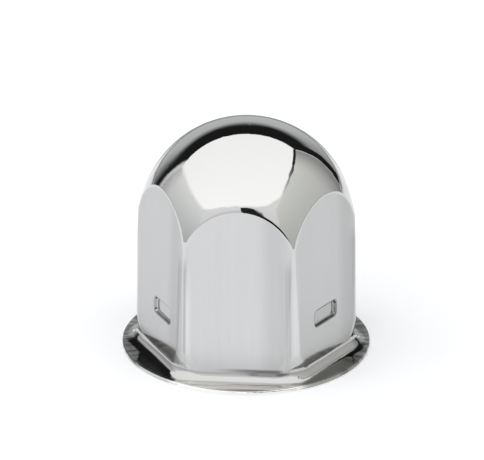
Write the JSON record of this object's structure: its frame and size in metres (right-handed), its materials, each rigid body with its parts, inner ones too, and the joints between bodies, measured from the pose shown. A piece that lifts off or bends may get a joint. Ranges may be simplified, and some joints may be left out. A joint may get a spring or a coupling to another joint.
{
  "type": "lug nut cover",
  "caption": "Bright pressed-sheet cap with a domed end, hexagonal wall and round flange that pushes over a truck wheel nut.",
  "frame": {"origin": "centre of the flange's underside, on the axis of the nut", "axes": "+Z along the nut's axis towards the dome; -Y faces out of the plain front flat, between the two front flats that carry dimples"},
  "size_m": [0.0448, 0.0448, 0.0429],
  "materials": {
    "polished_sheet": "mirror-polished bright sheet with a faint vertical drawing grain on the flats"
  },
  "bodies": {
    "root": {"cover_shell": "polished_sheet"}
  },
  "joints": []
}
